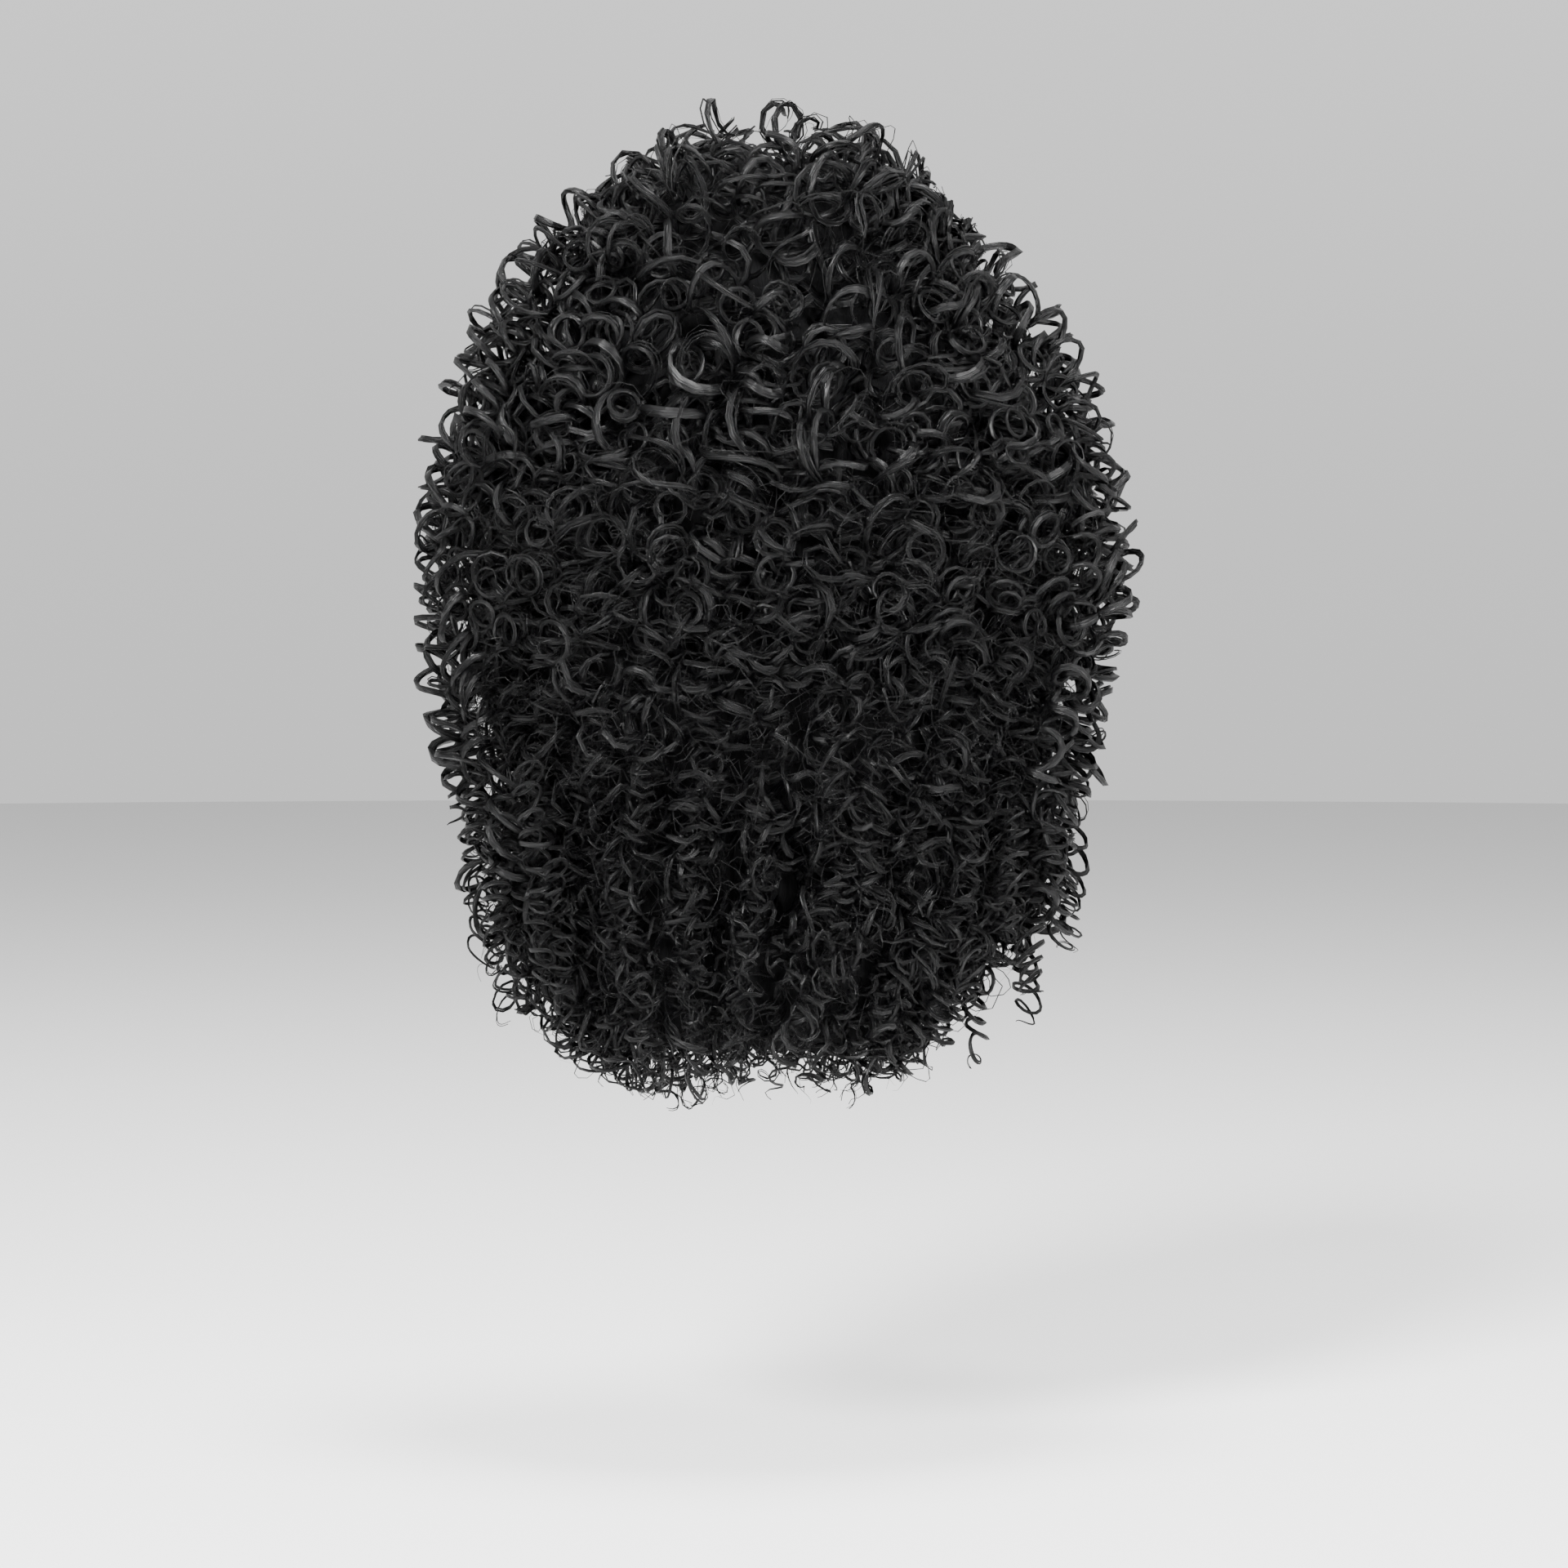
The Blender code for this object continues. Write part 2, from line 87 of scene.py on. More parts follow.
# Families of curls. A route says how a family's locks run. Lengths are in metres, heights and
# lengths down the hair are shares of its height, around is how far round from the middle of the
# back, in degrees, from and to, depth is how far under the outer form a lock runs, from its root
# to its tip, and spread is how much that differs from lock to lock. Wander is how far a lock's
# middle line strays. Steps are the points in one turn of a coil, and sides are the faces round a
# band.
CURL_COLUMNS = (
    "name", "route", "locks", "high", "low", "length", "around_from", "around_to", "root_depth",
    "depth", "spread", "wander", "coil_root", "coil_tip", "pitch", "steps", "band", "thin", "sides",
    "strands",
)
CURL_ROWS = (
    ("under_curls", "hang", 230, 0.00, 0.92, 0.16, 0, 180, 0.030, 0.026,
     0.003, 0.0020, 0.0080, 0.0055, 0.0120, 7, 0.0054, 0.0018, 3, 0),
    ("top_curls", "hang", 90, -0.02, 0.08, 0.09, 0, 180, 0.007, 0.003,
     0.003, 0.0024, 0.0080, 0.0070, 0.0140, 12, 0.0030, 0.0017, 3, 4),
    ("crown_curls", "hang", 150, 0.00, 0.34, 0.12, 0, 160, 0.014, 0.008,
     0.004, 0.0022, 0.0082, 0.0070, 0.0145, 14, 0.0036, 0.0018, 3, 4),
    ("upper_curls", "hang", 165, 0.26, 0.54, 0.13, 0, 150, 0.019, 0.012,
     0.004, 0.0020, 0.0070, 0.0060, 0.0125, 10, 0.0025, 0.0015, 3, 4),
    ("middle_curls", "hang", 225, 0.46, 0.76, 0.13, 0, 150, 0.018, 0.010,
     0.004, 0.0018, 0.0060, 0.0046, 0.0108, 9, 0.0019, 0.0013, 3, 3),
    ("lower_curls", "hang", 290, 0.66, 0.93, 0.11, 0, 180, 0.016, 0.008,
     0.004, 0.0014, 0.0048, 0.0036, 0.0090, 9, 0.0016, 0.0012, 3, 2),
    ("tip_curls", "hang", 190, 0.80, 0.93, 0.08, 0, 180, 0.009, 0.003,
     0.003, 0.0014, 0.0042, 0.0030, 0.0080, 9, 0.0016, 0.0010, 3, 1),
    ("inner_curls", "inner", 400, 0.22, 0.86, 0.10, 0, 80, 0.012, 0.0105,
     0.0015, 0.0014, 0.0050, 0.0042, 0.0110, 8, 0.0036, 0.0016, 3, 0),
    ("edge_curls", "hang", 76, 0.02, 0.84, 0.18, 62, 110, 0.015, 0.008,
     0.003, 0.0026, 0.0072, 0.0060, 0.0120, 14, 0.0027, 0.0021, 3, 1),
    ("ring_curls", "spring", 150, 0.00, 0.56, 0.00, 0, 82, 0.018, 0.000,
     0.004, 0.0020, 0.0078, 0.0045, 0.0120, 14, 0.0027, 0.0016, 3, 4),
    ("stray_curls", "fall", 30, 0.68, 0.88, 0.10, 40, 105, 0.007, 0.007,
     0.003, 0.0022, 0.0048, 0.0040, 0.0072, 14, 0.0018, 0.0015, 3, 1),
    ("loose_fibres", "hang", 260, 0.02, 0.80, 0.06, 0, 150, 0.014, 0.004,
     0.006, 0.0030, 0.0088, 0.0070, 0.0170, 18, 0.00034, 0.00028, 3, 0),
    ("frizz", "hang", 760, 0.38, 0.93, 0.06, 0, 150, 0.010, 0.004,
     0.006, 0.0026, 0.0052, 0.0038, 0.0105, 10, 0.00042, 0.00034, 3, 0),
)
OUTER_CURLS = (
    "top_curls", "crown_curls", "upper_curls", "middle_curls", "lower_curls", "tip_curls",
    "edge_curls", "ring_curls", "stray_curls", "inner_curls",
)
LOOSE_FIBRES = ("loose_fibres", "frizz")

# Changes down the hair's height: where each starts, over how much of it, the value above and below
COLUMNS_SET_IN = (0.55, 0.35, 0.0, 1.0)
GROOVES_END = (0.84, 0.12, 1.0, 0.0)
SIDES_SET_IN = (-0.03, 0.12, 0.0, 1.0)
SIDES_END = (0.70, 0.20, 1.0, 0.0)
CORE_THIN_AT_CROWN = (0.0, 0.18, 0.5, 1.0)
CORE_THIN_AT_TIPS = (0.72, 0.20, 1.0, 0.5)

# The same along a lock, from its root to its tip, for the radius of its coil and its widths
COIL_OPENS = (0.0, 1 / 6, 0.35, 1.0)
COIL_CLOSES = (0.90, 0.10, 1.0, 0.65)
BAND_OPENS = (0.0, 1 / 8, 0.45, 1.0)
BAND_CLOSES = (0.70, 1 / 3.4, 1.0, 0.20)
STRAND_CLOSES = (0.75, 0.25, 1.0, 0.30)
ROOT_SHARE = 0.25  # of a lock, over which it comes out from its root's depth to its own

# Where locks run
CROWN_LOFT = 0.007  # how far the loose coils stand above the solid's crown
SIDE_DEPTH = 0.015  # how much deeper the locks run at the sides than at the back
HIGHEST = 0.004  # the height that no lock starts above
START_ABOVE = 0.03  # how far above its own height a family may start
LOWEST_HEIGHT = (0.955, 1.010)  # the limits of how far down a hanging lock may reach
STRAIGHT_BELOW = 0.985  # the height below which locks hang straight down
DRIFT = 0.06  # radians that a lock strays round the hair
INNER_DRIFT = 0.08
INNER_COVER = 0.004  # how deep under the outer form the inner locks stay
CAP_ROOM = 0.054  # how far the inner locks stay from the rim's centre
COLUMNS = 20  # columns that the locks gather into low down, all the way round
COLUMN_BEND = (0.09, 5.0, 1.0)  # how far the columns shift, how often, and from where
COLUMN_PULL = 0.55
GROOVE_DEPTH = 0.011
SPRING_TURNS = 2.1
SPRING_LEAN = (-0.2, 0.7)
SPRING_SWAY = (-0.6, 0.6)
SPRING_SHORT = 0.004  # about how far under the outer form the springing locks stop

# How locks differ from one another, as lowest and highest factors
LENGTH_VARIES = (0.75, 1.25)
SPRING_VARIES = (0.70, 1.10)
FALL_VARIES = (0.60, 1.10)
COIL_VARIES = (0.80, 1.20)
BAND_VARIES = (0.62, 1.25)
STRAND_VARIES = (0.70, 1.30)
SPEED_VARIES = (0.70, 1.30)

# Coils and the bands and strands wound along them
COIL_TILT = (0.25, 0.95)  # how far the rings lean out of their plane, as shares of their radius
TILT_PHASE = 0.4
SPRING_TILT = 0.3  # how much of that the springing locks have
COIL_WAVE = 0.18
TURN_WAVE = 0.045
EDGE_SHRINK = 0.15  # how much smaller the coils at the sides are low down
FINE_DEPTH = 0.25  # how far below the rim's centre they are smallest
NO_LOCK_WAY = (0.31, -0.81, 0.50)  # a direction that no lock runs along
BAND_WAVE = 0.2
TWIST = (-0.4, 0.4)
TWIST_WAVE = 0.5
STRAND_WIDTHS = (0.0010, 0.0005, 0.0008, 0.0004)
STRAND_FLATNESS = 0.6
STRAND_SHARE = 0.6  # of a family's locks, which have strands beside their bands
STRAND_REACH = (1.0, 0.6)  # how far even and odd strands stray from their band, in radians
STRAND_SWELL = 0.25
STRAND_SWAY = 0.25
STRAND_WAVE = 0.08

# Texture places
STRAND_LENGTH = 0.12  # metres of a band in one unit of its strand map
VARIANT_ROWS = 4
VARIANT_STEP = 7
VARIANT_DRAWS = (0.618, 0.414)
CELL_MARGIN = 0.02

# The dense core
CORE_SPAN = (0.03, 0.97)
CORE_RINGS = 60
CORE_SIDES = 72
CORE_GROOVE = 0.7  # of a groove's depth
RIDGE_HEIGHT = 0.0018
RIDGES = (41, 3, 9)  # ridges round the core, how far they wave, and how often

# The head, the neck and the cap that the hair is hollow for
HEAD_HALF = np.array((0.076, 0.095, 0.110))
HEAD_CENTRE = np.array((0.0, 0.0727, -0.0472))
NECK_HALF = (0.060, 0.056)
NECK_CENTRE_Y = 0.0607
NECK_LOW = -0.34
NECK_OPENS = 3.0  # how much deeper the neck's room is towards the face
RIM_TILT = math.radians(65.0)
RIM_AXES = np.array((
    (1.0, 0.0, 0.0),
    (0.0, math.sin(RIM_TILT), -math.cos(RIM_TILT)),
    (0.0, math.cos(RIM_TILT), math.sin(RIM_TILT)),
))
CAP_HALF = np.array((0.0457, 0.0480, 0.0457))
CAP_CLEAR = 0.0015
CAP_CURL_CLEAR = 0.0100
CAP_LEAST_SHARE = 0.3  # of the cap's room, from which a lock is still moved all the way out
CORE_CLEAR = 0.012
CURL_CLEAR = 0.008

# Smallest steps and sizes that the shapes are worked out with
LEAST_REACH = 0.006
HEIGHT_STEP = 0.004
AROUND_STEP = 0.02
HEIGHT_SAMPLES = 60
NOISE_SCALE = 1.6  # brings the sum of three waves to within about 1
LOCK_SEED = 7
NAME_SEED = 31
EVEN_STEPS = (0.7548776662, 0.5698402910)  # whose multiples fill a square evenly

# The hem's stitches
STITCH_GAP = 0.005
STITCH_WIDTH = 0.0005

# The studio
FLOOR_Z = -0.41
FLOOR_RADIUS = 6.0
ROOM_BACK = (-0.6, 0.7, 0.38, 0.92)  # from and to along Y, the level in front and what is added
ROOM_TOP = (-0.02, 0.35, 0.66, 0.34)  # the same along Z
LIGHTS = (
    # name, place, width, watts
    ("key_light", (-0.8, -1.5, 1.1), 0.6, 180.0),
    ("fill_light", (1.1, -1.5, 0.05), 0.6, 125.0),
    ("top_light", (0.1, -0.3, 1.7), 0.6, 75.0),
)
LIGHT_AIM = Vector((0, -0.04, -0.12))
CAMERA_AIM = Vector((0.0015, -0.04, -0.1694))
SENSOR_WIDTH = 36.0
FARTHEST = 50.0


class HairSizes(bpy.types.PropertyGroup):
    """Sizes of the whole mass of hair, in metres."""

    rise: FloatProperty(
        name="Rise", description="Height of the hair above the rim's centre",
        default=HAIR_HIGH[2] + CROWN_LOFT, unit="LENGTH",
    )
    drop: FloatProperty(
        name="Drop", description="Length of the hair below the rim's centre",
        default=-HAIR_LOW[2], unit="LENGTH",
    )
    half_width: FloatProperty(
        name="Half width", description="Half the width at the widest height",
        default=(HAIR_HIGH[0] - HAIR_LOW[0]) / 2, unit="LENGTH",
    )
    back_reach: FloatProperty(
        name="Back reach", description="How far the hair stands behind the rim's centre",
        default=-HAIR_LOW[1], unit="LENGTH",
    )
    face_reach: FloatProperty(
        name="Face reach", description="How far the hair comes forward of the rim's centre",
        default=0.034, unit="LENGTH",
    )
    core_depth: FloatProperty(
        name="Core depth", description="How far the dense core lies under the outer form",
        default=0.030, unit="LENGTH",
    )
    seed: IntProperty(name="Seed", description="Start of the random draws", default=14)


class HairLook(bpy.types.PropertyGroup):
    """Colour and gloss of the fibres, with painted shade in the grooves between them."""

    # Painted shade: the grooves between the curls' fibres take this darker colour; in the core it
    # is a darker random tone of the tangle.
    deep: FloatVectorProperty(
        name="Deep colour", description="Colour of the fibres in their grooves",
        subtype="COLOR", size=3, default=(0.0004, 0.0004, 0.0005),
    )
    lit: FloatVectorProperty(
        name="Lit colour", description="Colour of the raised fibres",
        subtype="COLOR", size=3, default=(0.0038, 0.0038, 0.0040),
    )
    roughness: FloatProperty(
        name="Roughness", description="Satin gloss of the fibres", default=0.22, subtype="FACTOR",
    )


class StageSizes(bpy.types.PropertyGroup):
    """Where the camera stands."""

    distance: FloatProperty(
        name="Distance", description="From the camera to the hair's widest section",
        default=1.40, unit="LENGTH",
    )
    elevation: FloatProperty(
        name="Elevation", description="How far the camera looks down",
        default=math.radians(2.0), subtype="ANGLE",
    )
    frame_width: FloatProperty(
        name="Frame width", description="Width of the picture at the hair",
        default=0.557, unit="LENGTH",
    )


class Wire:
    """A shader socket that takes part in sums, each of which adds a Math node."""

    def __init__(self, graph, socket):
        self.graph = graph
        self.socket = socket

    def maths(self, operation, *values):
        return self.graph.add("ShaderNodeMath", {"operation": operation}, dict(enumerate(values)))

    def __add__(self, other):
        return self.maths("ADD", self, other)

    def __radd__(self, other):
        return self.maths("ADD", other, self)

    def __sub__(self, other):
        return self.maths("SUBTRACT", self, other)

    def __rsub__(self, other):
        return self.maths("SUBTRACT", other, self)

    def __mul__(self, other):
        return self.maths("MULTIPLY", self, other)

    def __rmul__(self, other):
        return self.maths("MULTIPLY", other, self)


class Graph:
    """The nodes of a material or a world. Its add method makes every node."""

    def __init__(self, name, store="materials", shader="Principled BSDF"):
        self.owner = getattr(bpy.data, store).new(name)
        self.owner.use_nodes = True
        self.tree = self.owner.node_tree
        self.shader = self.tree.nodes[shader]

    def add(self, kind, settings=None, values=None, out=0):
        made = self.tree.nodes.new(kind)
        for key, value in (settings or {}).items():
            setattr(made, key, value)
        for key, value in (values or {}).items():
            self.feed(made.inputs[key], value)
        return Wire(self, made.outputs[out])

    def feed(self, socket, value):
        if isinstance(value, Wire):
            self.tree.links.new(value.socket, socket)
        else:
            socket.default_value = value

    def part(self, vector, axis):
        return self.add("ShaderNodeSeparateXYZ", None, {0: vector}, out="XYZ".index(axis))

    def place(self):
        """The three coordinates of a point, in metres."""
        place = self.add("ShaderNodeTexCoord", out=3)
        return [self.part(place, axis) for axis in "XYZ"]

    def colour(self, share, low, high):
        """A mix of two plain colours."""
        return self.mixed(share, (*low, 1.0), (*high, 1.0))

    def mixed(self, share, low, high):
        settings = {"data_type": "RGBA"}
        return self.add("ShaderNodeMix", settings, {0: share, 6: low, 7: high}, out=2)

    def noise(self, vector, scale, detail=2.0, roughness=0.5):
        values = {"Vector": vector, "Scale": scale, "Detail": detail, "Roughness": roughness}
        return self.add("ShaderNodeTexNoise", None, values)

    def grain(self, axes, scales, scale=1.0, detail=2.0, roughness=0.5):
        """Noise that is stretched by a scale of its own along each axis."""
        stretched = {i: axis * along for i, (axis, along) in enumerate(zip(axes, scales))}
        vector = self.add("ShaderNodeCombineXYZ", None, stretched)
        return self.noise(vector, scale, detail, roughness)

    def wave(self, value):
        """A sine wave of a value, from 0 to 1."""
        return self.add("ShaderNodeMath", {"operation": "SINE"}, {0: value}) * 0.5 + 0.5

    def steps(self, value, low, high):
        """0 below one value and 1 above another, smooth between."""
        values = {"Value": value, "From Min": low, "From Max": high}
        return self.add("ShaderNodeMapRange", {"interpolation_type": "SMOOTHSTEP"}, values)

    def bump(self, height, strength, distance):
        values = {"Height": height, "Strength": strength, "Distance": distance}
        return self.add("ShaderNodeBump", None, values)

    def finish(self, **sockets):
        for name, value in sockets.items():
            self.feed(self.shader.inputs[name.replace("_", " ")], value)
        return self.owner


class Shell:
    """The hair's outer form. Every call takes arrays of the same shape."""

    def __init__(self, sizes):
        self.sizes = sizes
        self.tall = sizes.rise + sizes.drop
        self.rows = {n: np.array(c) for n, c in zip(ENVELOPE_COLUMNS, zip(*ENVELOPE_ROWS))}

    def row(self, column, height):
        """One column of the table at some heights, on a smooth curve through its rows."""
        at, value = self.rows["height"], self.rows[column]
        slope = np.gradient(value, at)
        height = np.clip(height, at[0], at[-1])
        k = np.clip(np.searchsorted(at, height, side="right") - 1, 0, len(at) - 2)
        span = at[k + 1] - at[k]
        t = (height - at[k]) / span
        start = value[k] * (1 + 2 * t) * (1 - t) ** 2 + slope[k] * span * t * (1 - t) ** 2
        return start + value[k + 1] * t * t * (3 - 2 * t) + slope[k + 1] * span * t * t * (t - 1)

    def point(self, height, around, inset):
        sizes = self.sizes
        inner = height + inset / self.tall * (1 - 2 * height)
        back = -sizes.back_reach * self.row("back", height)
        front = sizes.face_reach * self.row("front", height)
        widest = back + WIDEST_SHARE * (front - back)
        wide = np.maximum(sizes.half_width * self.row("width", height) - inset, LEAST_REACH)
        behind = np.maximum(widest - back - inset, LEAST_REACH)
        before = np.maximum(front - widest - inset, LEAST_REACH)
        reach = np.where(np.cos(around) > 0, behind, before)
        x = sizes.half_width * self.row("shift", height) + wide * np.sin(around)
        y = widest - reach * np.cos(around)
        return np.stack([x, y, sizes.rise - self.tall * inner], axis=-1)

    def holds(self, points, inset):
        """Which points lie deeper than an inset under the outer form."""
        sizes = self.sizes
        height = (sizes.rise - points[..., 2]) / self.tall
        back = -sizes.back_reach * self.row("back", height)
        front = sizes.face_reach * self.row("front", height)
        widest = back + WIDEST_SHARE * (front - back)
        wide = np.maximum(sizes.half_width * self.row("width", height) - inset, LEAST_REACH)
        reach = np.where(points[..., 1] < widest, widest - back, front - widest)
        x = (points[..., 0] - sizes.half_width * self.row("shift", height)) / wide
        y = (points[..., 1] - widest) / np.maximum(reach - inset, LEAST_REACH)
        return (x**2 + y**2 < 1) & (height < 1 - inset / self.tall)

    def frame(self, height, around, inset):
        """Points, and the ways down, out and sideways there."""
        here = self.point(height, around, inset)
        below = self.point(height + HEIGHT_STEP, around, inset)
        down = below - self.point(height - HEIGHT_STEP, around, inset)
        beside = self.point(height, around + AROUND_STEP, inset)
        side = beside - self.point(height, around - AROUND_STEP, inset)
        out = unit(np.cross(down, side))
        return here, unit(down), out, unit(side)


def unit(vectors):
    """Vectors at a length of 1."""
    length = np.linalg.norm(vectors, axis=-1, keepdims=True)
    return vectors / np.maximum(length, 1e-12)


def smooth_step(x):
    """0 up to 0 and 1 from 1, smooth between."""
    x = np.clip(x, 0, 1)
    return x * x * (3 - 2 * x)


def changing(x, start, span, before, after):
    """One value up to a start and another past a span, smooth between."""
    return before + (after - before) * smooth_step((x - start) / span)


def slow_noise(rng, count, t, waves=3):
    """A smooth random curve for each of some locks, over t, about within -1 and 1."""
    total = np.zeros((count, t.shape[-1]))
    for wave in range(1, waves + 1):
        phase = rng.uniform(0, 2 * math.pi, (count, 1))
        speed = wave * rng.uniform(*SPEED_VARIES, (count, 1))
        total += np.sin(2 * math.pi * speed * t + phase) / wave
    return total / NOISE_SCALE


def spread_points(count, start=0.5):
    """Pairs of numbers from 0 to 1 that fill a square evenly."""
    k = np.arange(count)
    return tuple((start + k * step) % 1.0 for step in EVEN_STEPS)


def even_heights(shell, share, high, low):
    """Heights between two limits, more of them where the hair is wider round."""
    fine = np.linspace(high, low, HEIGHT_SAMPLES)
    weight = np.cumsum(shell.row("width", fine))
    return np.interp(share, (weight - weight[0]) / (weight[-1] - weight[0]), fine)


def column_pull(height, around):
    """Where hanging locks gather into columns low down, and how deep the groove between is."""
    strength = changing(height, *COLUMNS_SET_IN)
    far, often, start = COLUMN_BEND
    bent = around + far * np.sin(often * around + start)
    pull = -strength * COLUMN_PULL * np.sin(COLUMNS * bent) / COLUMNS
    groove = strength * GROOVE_DEPTH * (0.5 - 0.5 * np.cos(COLUMNS * bent)) ** 2
    return pull, groove * changing(height, *GROOVES_END)


def start_points(shell, rng, row):
    """Heights and ways round at which a family's locks start, on both sides of the hair."""
    share, turn = spread_points(row["locks"], rng.uniform())
    start = even_heights(shell, share, max(row["high"] - START_ABOVE, HIGHEST), row["low"])
    side = 2 * turn - 1
    near, far = math.radians(row["around_from"]), math.radians(row["around_to"])
    around = np.sign(side) * (near + (far - near) * np.abs(side))
    return start[:, None], around[:, None]


def along_locks(shell, row, turns=None):
    """Shares of the way along a family's locks, and how many turns their coils have."""
    turns = turns or row["length"] * shell.tall / row["pitch"]
    return np.linspace(0, 1, int(turns * row["steps"]) + 1)[None, :], turns


def hanging_locks(shell, rng, row):
    """Middle lines of a family of locks that hang down the hair."""
    count = row["locks"]
    t, turns = along_locks(shell, row)
    start, around = start_points(shell, rng, row)
    end = start + row["length"] * rng.uniform(*LENGTH_VARIES, (count, 1))
    height = start + (np.minimum(end, rng.uniform(*LOWEST_HEIGHT, (count, 1))) - start) * t
    around = around + DRIFT * slow_noise(rng, count, t, 2)
    pull, groove = column_pull(height, around)
    depth = row["depth"] + row["spread"] * np.linspace(-1, 1, count)[:, None]
    inset = changing(t, 0.0, ROOT_SHARE, row["root_depth"], depth) + groove
    at_edges = row["around_from"] > 0
    if not at_edges:
        body = changing(height, *SIDES_SET_IN) * changing(height, *SIDES_END)
        inset = inset + SIDE_DEPTH * np.sin(around) ** 2 * body
    over = np.maximum(height - STRAIGHT_BELOW, 0)
    curved = np.clip(height, HIGHEST, STRAIGHT_BELOW)
    centre, down, out, side = shell.frame(curved, around + pull, inset)
    for way in (out, side):
        centre = centre + way * (row["wander"] * slow_noise(rng, count, t, 2))[..., None]
    centre[..., 2] -= over * shell.tall
    return centre, t, turns


def inner_locks(shell, rng, row):
    """Middle lines of locks on the side towards the head, which lie round the head and the neck."""
    count = row["locks"]
    t, turns = along_locks(shell, row)
    share, turn = spread_points(count, rng.uniform())
    start = (row["high"] + (row["low"] - row["high"]) * share)[:, None]
    around = ((2 * turn - 1) * math.radians(row["around_to"]))[:, None]
    around = around + INNER_DRIFT * slow_noise(rng, count, t, 2)
    height = np.minimum(start + row["length"] * t, 1.0)
    z = shell.sizes.rise - shell.tall * height
    clear = row["depth"] + row["spread"] * slow_noise(rng, count, t, 2)
    low = (z - HEAD_CENTRE[2]) / (HEAD_HALF[2] + clear)
    section = np.sqrt(np.maximum(1 - low**2, 0.0))
    beside = (HEAD_HALF[0] + clear) * section, HEAD_CENTRE[1] - (HEAD_HALF[1] + clear) * section
    neck = NECK_HALF[0] + clear, NECK_CENTRE_Y - NECK_HALF[1] - clear
    x = np.where(low < 0, np.maximum(beside[0], neck[0]), beside[0]) * np.sin(around)
    back = np.where(low < 0, np.minimum(beside[1], neck[1]), beside[1])
    y = HEAD_CENTRE[1] - (HEAD_CENTRE[1] - back) * np.cos(around)
    centre = np.stack([x, y, z * np.ones_like(x)], axis=-1)
    off_cap = np.linalg.norm(centre, axis=-1) > CAP_ROOM
    inside = shell.holds(centre, INNER_COVER) & off_cap
    return centre[np.all(inside, axis=1)], t, turns


def springing_locks(shell, rng, row):
    """Middle lines of short locks that spring out of the hair, with rings that face outwards."""
    count = row["locks"]
    t, turns = along_locks(shell, row, SPRING_TURNS)
    start, around = start_points(shell, rng, row)
    even = np.ones_like(t)
    base, down, out, side = shell.frame(start * even, around * even, row["root_depth"] * even)
    lean = rng.uniform(*SPRING_LEAN, (count, 1, 1))
    sway = rng.uniform(*SPRING_SWAY, (count, 1, 1))
    way = unit(out + lean * down + sway * side)
    length = (row["root_depth"] - SPRING_SHORT) * rng.uniform(*SPRING_VARIES, (count, 1, 1))
    return base + way * length * t[..., None], t, turns


def falling_locks(shell, rng, row):
    """Middle lines of single locks that leave the hair low down at the sides and hang straight."""
    count = row["locks"]
    t, turns = along_locks(shell, row)
    start, around = start_points(shell, rng, row)
    base = shell.point(start, around, row["depth"] * np.ones_like(start))
    fall = row["length"] * shell.tall * rng.uniform(*FALL_VARIES, (count, 1)) * t
    centre = base - fall[..., None] * np.array([0.0, 0.0, 1.0])
    for axis in (0, 1):
        centre[..., axis] += row["wander"] * slow_noise(rng, count, t, 2) * t
    return centre, t, turns


ROUTES = {
    "hang": hanging_locks,
    "inner": inner_locks,
    "spring": springing_locks,
    "fall": falling_locks,
}


def wound(rng, row, centre, t, turns, strand):
    """One strand wound round each middle line: strand 0 is the lock's main band, and the others
    run beside it. Returns the paths and the coils' axes."""
    count = len(centre)
    along = unit(np.gradient(centre, axis=1))
    first = unit(np.cross(along, np.broadcast_to(np.array(NO_LOCK_WAY), centre.shape)))
    second = np.cross(along, first)
    hand = np.where(np.arange(count) % 2, 1.0, -1.0)[:, None]
    lock = np.random.default_rng(row["locks"] + LOCK_SEED)  # the same for every strand of a lock
    angle = lock.uniform(0, 2 * math.pi, (count, 1))
    angle = angle + hand * 2 * math.pi * turns * (t + TURN_WAVE * slow_noise(lock, count, t))
    size = lock.uniform(*COIL_VARIES, (count, 1)) * (1 + COIL_WAVE * slow_noise(lock, count, t, 4))
    tilt = lock.uniform(*COIL_TILT, (count, 1)) * lock.choice((-1.0, 1.0), (count, 1))
    if row["route"] == "spring":
        tilt = SPRING_TILT * tilt
    radius = (row["coil_root"] + (row["coil_tip"] - row["coil_root"]) * t) * size
    at_edges = row["around_from"] > 0
    if at_edges:
        lower = np.clip(-centre[:, :1, 2] / FINE_DEPTH, 0, 1)
        radius = radius * (1 - EDGE_SHRINK * lower)
    radius = radius * changing(t, *COIL_OPENS) * changing(t, *COIL_CLOSES)
    if strand:
        far = STRAND_REACH[strand % 2]
        sway = far * rng.uniform(-1, 1, (count, 1)) + STRAND_SWAY * slow_noise(rng, count, t)
        swell = STRAND_SWELL * far * rng.uniform(-1, 1, (count, 1))
        angle = angle + sway
        radius = radius * (1 + swell + STRAND_WAVE * slow_noise(rng, count, t))
    swing = first * np.cos(angle)[..., None] + second * np.sin(angle)[..., None]
    swing = swing + along * (tilt * np.sin(angle + TILT_PHASE))[..., None]
    return centre + radius[..., None] * swing, along


